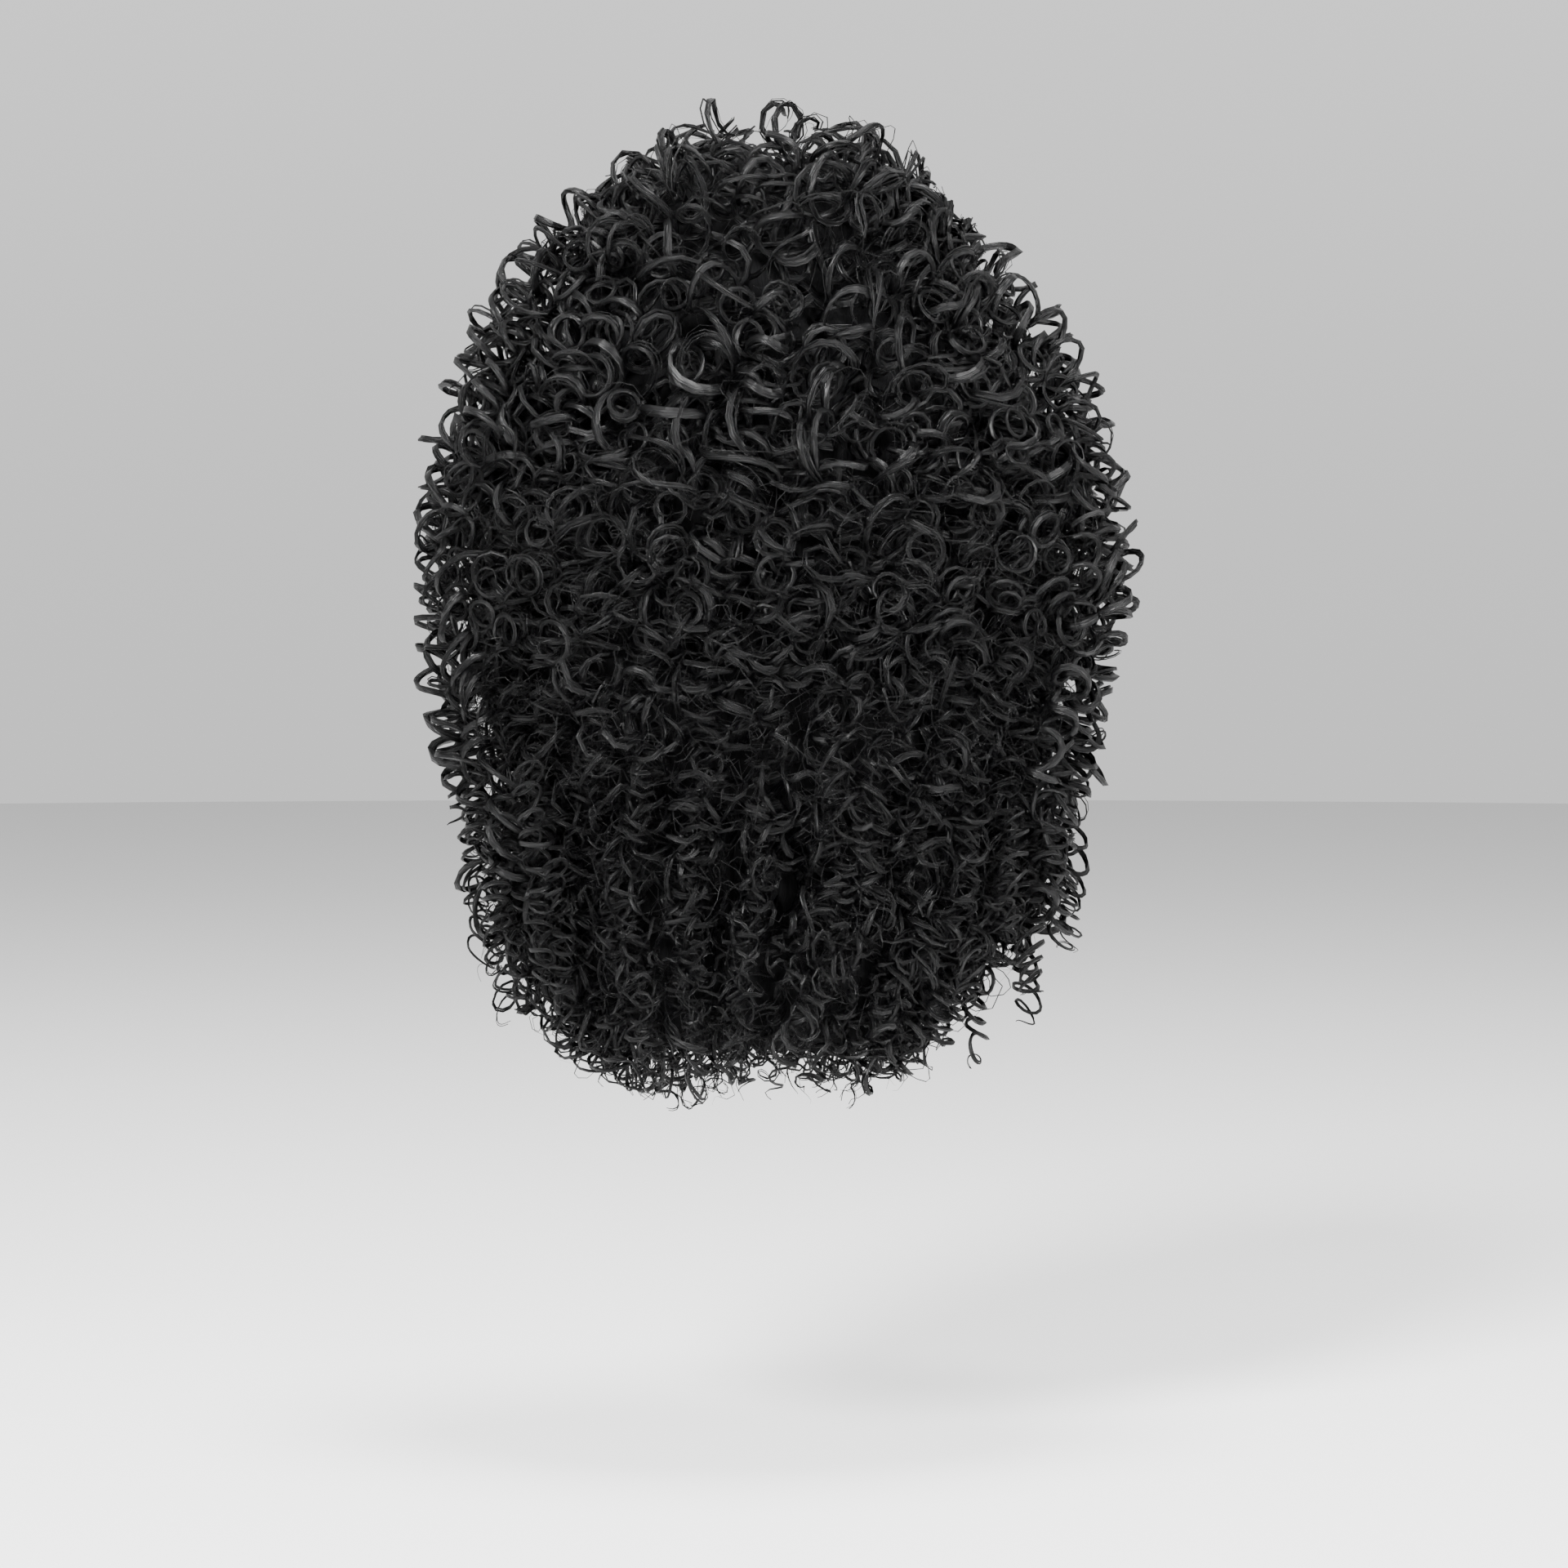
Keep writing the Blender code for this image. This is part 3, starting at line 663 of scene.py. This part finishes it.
def main_bands(rng, row, centre, t, turns):
    """The wide flat band of every lock."""
    path, axis = wound(rng, row, centre, t, turns, 0)
    count = len(path)
    taper = changing(t, *BAND_OPENS) * changing(t, *BAND_CLOSES)
    scale = rng.uniform(*BAND_VARIES, (count, 1)) * taper
    scale = scale * (1 + BAND_WAVE * slow_noise(rng, count, t, 4))
    twist = rng.uniform(*TWIST, (count, 1)) + TWIST_WAVE * slow_noise(rng, count, t, 3)
    return bands(path, axis, row["band"] * scale, row["thin"] * scale, row["sides"], twist)


def side_strands(rng, row, centre, t, turns):
    """Thin strands beside the main bands of the outer locks, which come first."""
    made = [wound(rng, row, centre, t, turns, k + 1) for k in range(row["strands"])]
    outer = int(STRAND_SHARE * len(centre))
    paths = np.concatenate([path[:outer] for path, axis in made])
    axes = np.concatenate([axis[:outer] for path, axis in made])
    width = np.repeat(STRAND_WIDTHS[: row["strands"]], outer)[:, None]
    width = width * rng.uniform(*STRAND_VARIES, (len(paths), 1)) * changing(t, *STRAND_CLOSES)
    return bands(paths, axes, width, STRAND_FLATNESS * width, 3)


def bands(paths, axes, width, thin, sides, twist=None):
    """Closed flat bands, one along each path, broad along its axis. Returns the arrays of a mesh:
    vertices, the corners of all faces, each face's number of corners, and the corners' places."""
    count, points = paths.shape[:2]
    tangent = unit(np.gradient(paths, axis=1))
    broad = unit(axes - np.sum(axes * tangent, axis=-1, keepdims=True) * tangent)
    flat = np.cross(tangent, broad)
    if twist is not None:
        cos, sin = np.cos(twist)[..., None], np.sin(twist)[..., None]
        broad, flat = broad * cos + flat * sin, flat * cos - broad * sin
    turn = 2 * math.pi * (np.arange(sides) + 0.5) / sides
    ring = (
        broad[:, :, None] * (np.cos(turn)[:, None] * width[:, :, None, None] / 2)
        + flat[:, :, None] * (np.sin(turn)[:, None] * thin[:, :, None, None] / 2)
    )
    verts = (paths[:, :, None] + ring).reshape(-1, 3)
    base = (np.arange(count) * points * sides)[:, None, None]
    k = (np.arange(points - 1) * sides)[None, :, None]
    i = np.arange(sides)[None, None, :]
    j = (i + 1) % sides
    quads = np.stack([base + k + i, base + k + j, base + k + sides + j, base + k + sides + i], -1)
    starts = base[:, 0] + np.arange(sides)[None, ::-1]
    ends = base[:, 0] + (points - 1) * sides + np.arange(sides)[None, :]
    loops = np.concatenate([quads.ravel(), starts.ravel(), ends.ravel()])
    sizes = np.concatenate([np.full(quads.size // 4, 4), np.full(2 * count, sides)])
    return verts, loops, sizes, corner_places(paths, sides)


def corner_places(paths, sides):
    """For each corner: its share of the way round the band, metres along it, and its variant."""
    count, points = paths.shape[:2]
    step = np.linalg.norm(np.diff(paths, axis=1), axis=-1)
    along = np.concatenate([np.zeros((count, 1)), np.cumsum(step, axis=1)], axis=1)
    around = np.arange(sides + 1) / sides
    variant = np.arange(count) * VARIANT_STEP % VARIANT_ROWS**2
    quads = np.zeros((count, points - 1, sides, 4, 3))
    quads[..., 0, 0] = quads[..., 3, 0] = around[:-1]
    quads[..., 1, 0] = quads[..., 2, 0] = around[1:]
    quads[..., 0, 1] = quads[..., 1, 1] = along[:, :-1, None]
    quads[..., 2, 1] = quads[..., 3, 1] = along[:, 1:, None]
    quads[..., 2] = variant[:, None, None, None]
    starts = np.zeros((count, sides, 3))
    starts[..., 0] = around[:-1]
    starts[..., 2] = variant[:, None]
    ends = starts.copy()
    ends[..., 1] = along[:, -1:]
    return np.concatenate([quads.reshape(-1, 3), starts.reshape(-1, 3), ends.reshape(-1, 3)])


def hair_mesh(name, parts):
    """One mesh from the arrays of some bands."""
    counts = np.cumsum([0] + [len(verts) for verts, loops, sizes, places in parts])
    verts = np.concatenate([part[0] for part in parts])
    loops = np.concatenate([part[1] + first for part, first in zip(parts, counts)])
    sizes = np.concatenate([part[2] for part in parts])
    firsts = np.concatenate([[0], np.cumsum(sizes)[:-1]])
    mesh = bpy.data.meshes.new(name)
    mesh.vertices.add(len(verts))
    mesh.vertices.foreach_set("co", verts.astype(np.float32).ravel())
    mesh.loops.add(len(loops))
    mesh.loops.foreach_set("vertex_index", loops.astype(np.int32))
    mesh.polygons.add(len(sizes))
    mesh.polygons.foreach_set("loop_start", firsts.astype(np.int32))
    mesh.polygons.foreach_set("loop_total", sizes.astype(np.int32))
    mesh.update(calc_edges=True)
    mesh.shade_smooth()
    strand_maps(mesh, np.concatenate([part[3] for part in parts]))
    return mesh


def strand_maps(mesh, places):
    """UV maps: strand is round and along each band, lock its variant, and OFBake one cell each."""
    around, along, variant = places.T
    strand = np.stack([around, along / STRAND_LENGTH], axis=-1)
    cell = np.stack([variant % VARIANT_ROWS, variant // VARIANT_ROWS], axis=-1)
    within = np.stack([around, along / max(along.max(), 1e-6)], axis=-1)
    bake = (cell + CELL_MARGIN + (1 - 2 * CELL_MARGIN) * within) / VARIANT_ROWS
    lock = np.stack([(variant * draw) % 1.0 for draw in VARIANT_DRAWS], axis=-1)
    for name, values in (("OFBake", bake), ("strand", strand), ("lock", lock)):
        layer = mesh.uv_layers.new(name=name)
        layer.data.foreach_set("uv", values.astype(np.float32).ravel())


def link(name, mesh, material=None):
    """Puts a mesh in the scene as an object of its own."""
    piece = bpy.data.objects.new(name, mesh)
    bpy.context.scene.collection.objects.link(piece)
    if material:
        piece.data.materials.clear()
        piece.data.materials.append(material)
    return piece


def hair_piece(name, mesh, material):
    """Links a piece of hair, which stands for the CAD's curls."""
    piece = link(name, mesh, material)
    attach(piece, BODY)
    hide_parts(HAIR_NODE)
    return piece


def fibre_material():
    """Satin black synthetic fibre: fine ridges along every strand, with painted shade in the
    grooves between them.
    """
    name = "satin_curl_fibre"
    if name in bpy.data.materials:
        return bpy.data.materials[name]
    look = bpy.context.scene.ponytail_look
    graph = Graph(name)
    strand = graph.add("ShaderNodeUVMap", {"uv_map": "strand"})
    lock = graph.add("ShaderNodeUVMap", {"uv_map": "lock"})
    around = graph.part(strand, "X")
    along = graph.part(strand, "Y")
    which = graph.part(lock, "X")
    axes = (around, along, which)
    lines = graph.grain(axes, scales=(24.0, 1.6, 40.0), detail=3.0, roughness=0.6)
    patches = graph.grain(axes, scales=(2.0, 5.0, 17.0), scale=1.3)
    fibres = graph.steps(lines, low=0.43, high=0.60)
    return graph.finish(
        # Painted shade: the grooves between the fibres take the darker colour and the raised fibres
        # the lit one; the patches vary the tone at random.
        Base_Color=graph.colour(fibres * patches * 1.6, look.deep, look.lit),
        Roughness=look.roughness + 0.20 - fibres * 0.20,
        Normal=graph.bump(lines, strength=1.0, distance=0.0010),
        Specular_IOR_Level=0.20,
    )


def curl_row(name):
    """One family's row of the table, by its columns."""
    return next(dict(zip(CURL_COLUMNS, row)) for row in CURL_ROWS if row[0] == name)


def make_curls(name):
    """Builds one family of curls from its row."""
    row = curl_row(name)
    sizes = bpy.context.scene.ponytail_hair
    rng = np.random.default_rng(sizes.seed + len(name) * NAME_SEED + ord(name[0]))
    centre, t, turns = ROUTES[row["route"]](Shell(sizes), rng, row)
    centre = clear_of_cap(centre)
    centre = centre[outside_head(centre)]
    parts = [main_bands(rng, row, centre, t, turns)]
    if row["strands"]:
        parts.append(side_strands(rng, row, centre, t, turns))
    return hair_piece(name, hair_mesh(name, parts), fibre_material())


def clear_of_cap(centre):
    """Moves the parts of the locks that run through the cap's room out round it."""
    off = centre @ RIM_AXES.T / (CAP_HALF + CAP_CURL_CLEAR)
    reach = np.sqrt(np.sum(off**2, axis=-1, keepdims=True))
    return centre / np.clip(reach, CAP_LEAST_SHARE, 1.0)


def outside_head(centre):
    """Which locks clear the head's hollow and the neck's along their whole length."""
    off = (centre - HEAD_CENTRE) / (HEAD_HALF + CURL_CLEAR)
    clear = np.sum(off**2, axis=-1) > 1.0
    low = centre[..., 2] < HEAD_CENTRE[2]
    x = centre[..., 0] / (NECK_HALF[0] + CURL_CLEAR)
    y = np.minimum(centre[..., 1] - NECK_CENTRE_Y, 0) / (NECK_HALF[1] + CURL_CLEAR)
    beside = x**2 + y**2 > 1
    return np.all(clear & (~low | beside), axis=1)


class PONYTAIL_OT_core(bpy.types.Operator):
    """Builds the dense dark hair under the curls, hollow towards the head"""

    bl_idname = "ponytail.core"
    bl_label = "Dense core"

    def execute(self, context):
        shell = Shell(context.scene.ponytail_hair)
        depth = context.scene.ponytail_hair.core_depth
        grid = np.ones((CORE_RINGS, CORE_SIDES))
        height = np.linspace(*CORE_SPAN, CORE_RINGS)[:, None] * grid
        around = np.linspace(0, 2 * math.pi, CORE_SIDES, endpoint=False)[None] * grid
        pull, groove = column_pull(height, around)
        count, far, often = RIDGES
        ridges = RIDGE_HEIGHT * np.sin(around * count + far * np.sin(height * often))
        thin = changing(height, *CORE_THIN_AT_TIPS) * changing(height, *CORE_THIN_AT_CROWN)
        points = shell.point(height, around, depth * thin + groove * CORE_GROOVE + ridges)
        bm = bmesh.new()
        loops = [[bm.verts.new(p) for p in ring] for ring in points]
        for lower, upper in zip(loops, loops[1:]):
            for i in range(CORE_SIDES):
                j = (i + 1) % CORE_SIDES
                bm.faces.new((lower[i], upper[i], upper[j], lower[j]))
        bm.faces.new(loops[0])
        bm.faces.new(reversed(loops[-1]))
        bmesh.ops.recalc_face_normals(bm, faces=bm.faces[:])
        mesh = bpy.data.meshes.new("core_hair")
        bm.to_mesh(mesh)
        bm.free()
        mesh.shade_smooth()
        core = hair_piece("core_hair", mesh, core_material())
        hollow(core)
        return {"FINISHED"}


def head_room(bm):
    """Fills a mesh with the head's room, an egg a little larger than the head."""
    bmesh.ops.create_uvsphere(bm, u_segments=48, v_segments=32, radius=1.0)
    bmesh.ops.scale(bm, vec=Vector(HEAD_HALF + CORE_CLEAR), verts=bm.verts[:])
    bmesh.ops.translate(bm, vec=Vector(HEAD_CENTRE), verts=bm.verts[:])


def neck_room(bm):
    """Fills a mesh with the neck's room, an oval column that opens towards the face."""
    bmesh.ops.create_cone(bm, cap_ends=True, segments=40, radius1=1.0, radius2=1.0, depth=1.0)
    for v in bm.verts:
        opens = NECK_OPENS if v.co.y > 0 else 1.0
        x = v.co.x * (NECK_HALF[0] + CORE_CLEAR)
        y = NECK_CENTRE_Y + v.co.y * (NECK_HALF[1] + CORE_CLEAR) * opens
        v.co = Vector((x, y, HEAD_CENTRE[2] if v.co.z > 0 else NECK_LOW))


def cap_room(bm):
    """Fills a mesh with the cap's room, an ellipsoid in the rim's own axes."""
    bmesh.ops.create_uvsphere(bm, u_segments=48, v_segments=32, radius=1.0)
    for v in bm.verts:
        v.co = Vector(RIM_AXES.T @ (np.array(v.co) * (CAP_HALF + CAP_CLEAR)))


def hollow(core):
    """Cuts the head's, the neck's and the cap's room out of the core."""
    helpers = []
    for fill in (head_room, neck_room, cap_room):
        name = fill.__name__
        bm = bmesh.new()
        fill(bm)
        mesh = bpy.data.meshes.new(name)
        bm.to_mesh(mesh)
        bm.free()
        helper = link(name, mesh)
        helpers.append(helper)
        cut = core.modifiers.new(name, "BOOLEAN")
        cut.operation = "DIFFERENCE"
        cut.object = helper
    apply_modifiers(core)
    for helper in helpers:
        bpy.data.objects.remove(helper)


def apply_modifiers(obj):
    """Turns what an object's modifiers make into its own mesh."""
    graph = bpy.context.evaluated_depsgraph_get()
    made = bpy.data.meshes.new_from_object(obj.evaluated_get(graph))
    obj.modifiers.clear()
    obj.data = made


def core_material():
    """Matt black tangled fibre, seen only between the curls."""
    look = bpy.context.scene.ponytail_look
    graph = Graph("tangled_fibre")
    strands = graph.grain(graph.place(), scales=(420.0, 420.0, 60.0), detail=3.0)
    return graph.finish(
        # The tangle's tone varies at random between the two fibre colours.
        Base_Color=graph.colour(strands, look.lit, look.deep),
        Roughness=0.8,
        Normal=graph.bump(strands, strength=0.8, distance=0.002),
        Specular_IOR_Level=0.05,
    )


class PONYTAIL_OT_under_curls(bpy.types.Operator):
    """Builds the inner layer of curls that closes the gaps between the outer ones"""

    bl_idname = "ponytail.under_curls"
    bl_label = "Under curls"

    def execute(self, context):
        make_curls("under_curls")
        return {"FINISHED"}


class PONYTAIL_OT_outer_curls(bpy.types.Operator):
    """Builds the outer curls, from the crown's large ones to the fine ones low down"""

    bl_idname = "ponytail.outer_curls"
    bl_label = "Outer curls"

    def execute(self, context):
        for name in OUTER_CURLS:
            make_curls(name)
        return {"FINISHED"}


class PONYTAIL_OT_fibres(bpy.types.Operator):
    """Builds the single loose fibres and the frizz low down"""

    bl_idname = "ponytail.fibres"
    bl_label = "Loose fibres"

    def execute(self, context):
        for name in LOOSE_FIBRES:
            make_curls(name)
        return {"FINISHED"}


def net_material(graph):
    """Fine stretch net: threads round small open cells, which are painted near black as the shade
    seen through them.
    """
    place = graph.add("ShaderNodeTexCoord", out=3)
    edge = graph.add(
        "ShaderNodeTexVoronoi", {"feature": "DISTANCE_TO_EDGE"},
        {"Vector": place, "Scale": 620.0, "Randomness": 0.35},
    )
    thread = 1.0 - graph.steps(edge, low=0.06, high=0.16)
    return graph.finish(
        # Painted shade: the open cells between the threads are near black.
        Base_Color=graph.colour(thread, (0.0010, 0.0010, 0.0011), (0.011, 0.011, 0.012)),
        Roughness=0.85 - thread * 0.25,
        Normal=graph.bump(thread, strength=0.9, distance=0.0004),
        Specular_IOR_Level=0.3,
    )


def tape_material(graph):
    """Woven elastic tape: ribs across it and two rows of stitches along it."""
    x, y, z = graph.place()
    turn = graph.add("ShaderNodeMath", {"operation": "ARCTAN2"}, {0: z, 1: x})
    ribs = graph.wave(turn * 420.0)
    weave = graph.grain((x, y, z), scales=(900.0, 900.0, 900.0))
    dash = graph.wave(turn * 110.0)
    across = graph.add("ShaderNodeMath", {"operation": "PINGPONG"}, {0: y, 1: STITCH_GAP / 2})
    row = 1.0 - graph.steps(across, low=STITCH_WIDTH * 0.5, high=STITCH_WIDTH)
    stitch = row * graph.steps(dash, low=0.25, high=0.45)
    height = ribs * 0.4 + weave * 0.3 + stitch
    # Lighter on the stitches and where the weave's noise is high.
    stitch_and_weave_tone = stitch * 0.7 + weave * 0.2
    return graph.finish(
        Base_Color=graph.colour(stitch_and_weave_tone, (0.004, 0.004, 0.0045), (0.026, 0.026, 0.028)),
        Roughness=0.75 - stitch * 0.2,
        Normal=graph.bump(height, strength=0.8, distance=0.0005),
        Specular_IOR_Level=0.3,
    )


def weft_material(graph):
    """Fibres sewn flat side by side, with the machine's stitches across them."""
    x, y, z = graph.place()
    fibres = graph.grain((x, y, z), scales=(1400.0, 160.0, 1400.0))
    stitch = graph.wave((x + z) * 2600.0)
    return graph.finish(
        Base_Color=graph.colour(fibres, (0.002, 0.002, 0.0022), (0.010, 0.010, 0.011)),
        Roughness=0.55 - fibres * 0.15,
        Normal=graph.bump(fibres + stitch * 0.5, strength=0.8, distance=0.0005),
        Specular_IOR_Level=0.3,
    )


def comb_material(graph):
    """Moulded black plastic with faint flow marks and scuffs."""
    place = graph.add("ShaderNodeTexCoord", out=3)
    flow = graph.noise(place, scale=260.0, detail=3.0)
    scuff = graph.steps(graph.noise(place, scale=1500.0), low=0.55, high=0.72)
    return graph.finish(
        Base_Color=graph.colour(scuff * 0.4, (0.006, 0.006, 0.0065), (0.020, 0.020, 0.021)),
        Roughness=0.20 + flow * 0.12 + scuff * 0.15,
        Normal=graph.bump(flow, strength=0.15, distance=0.0004),
    )


class PONYTAIL_OT_fittings(bpy.types.Operator):
    """Gives the net cap, its hem, the sewn weft and the combs their finishes"""

    bl_idname = "ponytail.fittings"
    bl_label = "Cap and comb finishes"

    def execute(self, context):
        for make, nodes in (
            (net_material, ("net_cap",)),
            (tape_material, ("hem_casing",)),
            (weft_material, ("weft_strip",)),
            (comb_material, ("comb_upper", "comb_lower")),
        ):
            material = make(Graph(make.__name__.replace("_material", "_finish")))
            for node in nodes:
                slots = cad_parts[node].data.materials
                slots.clear()
                slots.append(material)
        return {"FINISHED"}


class PONYTAIL_OT_stage(bpy.types.Operator):
    """Builds the floor, the lights, the pale surroundings and the camera"""

    bl_idname = "ponytail.stage"
    bl_label = "Studio"

    def execute(self, context):
        make_floor()
        make_lights()
        make_camera(context.scene.ponytail_stage)
        return {"FINISHED"}


def make_floor():
    """A plain pale floor, well below the hair."""
    bm = bmesh.new()
    bmesh.ops.create_circle(bm, cap_ends=True, segments=64, radius=FLOOR_RADIUS)
    mesh = bpy.data.meshes.new("studio_floor")
    bm.to_mesh(mesh)
    bm.free()
    graph = Graph("pale_floor")
    material = graph.finish(Base_Color=(0.70, 0.70, 0.70, 1.0), Roughness=0.9)
    floor = link("studio_floor", mesh, material)
    floor.location.z = FLOOR_Z


def make_lights():
    """A room that is pale behind the hair and darker in front of it, and three soft lamps."""
    room = Graph("pale_room", "worlds", "Background")
    way = room.add("ShaderNodeTexCoord", out=0)
    behind, above = (
        level + room.steps(room.part(way, axis), low, high) * added
        for axis, (low, high, level, added) in (("Y", ROOM_BACK), ("Z", ROOM_TOP))
    )
    bpy.context.scene.world = room.finish(Color=(1.0, 1.0, 1.0, 1.0), Strength=behind * above)
    for name, place, width, watts in LIGHTS:
        lamp = bpy.data.lights.new(name, "AREA")
        lamp.shape = "DISK"
        lamp.size = width
        lamp.energy = watts
        holder = bpy.data.objects.new(name, lamp)
        bpy.context.scene.collection.objects.link(holder)
        holder.location = place
        away = Vector(place) - LIGHT_AIM
        holder.rotation_euler = away.to_track_quat("Z", "Y").to_euler()


def make_camera(stage):
    """A camera at the photo's angle, aimed at the middle of its frame."""
    camera = bpy.data.cameras.new("photo_camera")
    camera.sensor_width = SENSOR_WIDTH
    camera.lens = SENSOR_WIDTH * stage.distance / stage.frame_width
    camera.clip_end = FARTHEST
    holder = bpy.data.objects.new("photo_camera", camera)
    bpy.context.scene.collection.objects.link(holder)
    back = Vector((0, -math.cos(stage.elevation), math.sin(stage.elevation)))
    holder.location = CAMERA_AIM + back * stage.distance
    holder.rotation_euler = back.to_track_quat("Z", "Y").to_euler()
    bpy.context.scene.camera = holder


class PONYTAIL_PT_panel(bpy.types.Panel):
    """Lists the ponytail's steps"""

    bl_idname = "PONYTAIL_PT_panel"
    bl_label = "Ponytail"
    bl_space_type = "VIEW_3D"
    bl_region_type = "UI"
    bl_category = "Ponytail"

    def draw(self, context):
        for step in STEPS:
            self.layout.operator(step)
        for group in (context.scene.ponytail_hair, context.scene.ponytail_look):
            for name in group.__annotations__:
                self.layout.prop(group, name)


CLASSES = (
    HairSizes,
    HairLook,
    StageSizes,
    PONYTAIL_OT_core,
    PONYTAIL_OT_under_curls,
    PONYTAIL_OT_outer_curls,
    PONYTAIL_OT_fibres,
    PONYTAIL_OT_fittings,
    PONYTAIL_OT_stage,
    PONYTAIL_PT_panel,
)
STEPS = (
    "ponytail.core",
    "ponytail.under_curls",
    "ponytail.outer_curls",
    "ponytail.fibres",
    "ponytail.fittings",
    "ponytail.stage",
)


def register():
    for cls in CLASSES:
        bpy.utils.register_class(cls)
    bpy.types.Scene.ponytail_hair = PointerProperty(type=HairSizes)
    bpy.types.Scene.ponytail_look = PointerProperty(type=HairLook)
    bpy.types.Scene.ponytail_stage = PointerProperty(type=StageSizes)


def unregister():
    del bpy.types.Scene.ponytail_hair
    del bpy.types.Scene.ponytail_look
    del bpy.types.Scene.ponytail_stage
    for cls in reversed(CLASSES):
        bpy.utils.unregister_class(cls)


def main():
    register()
    for step in STEPS:
        group, name = step.split(".")
        getattr(getattr(bpy.ops, group), name)()


if __name__ == "__main__":
    main()
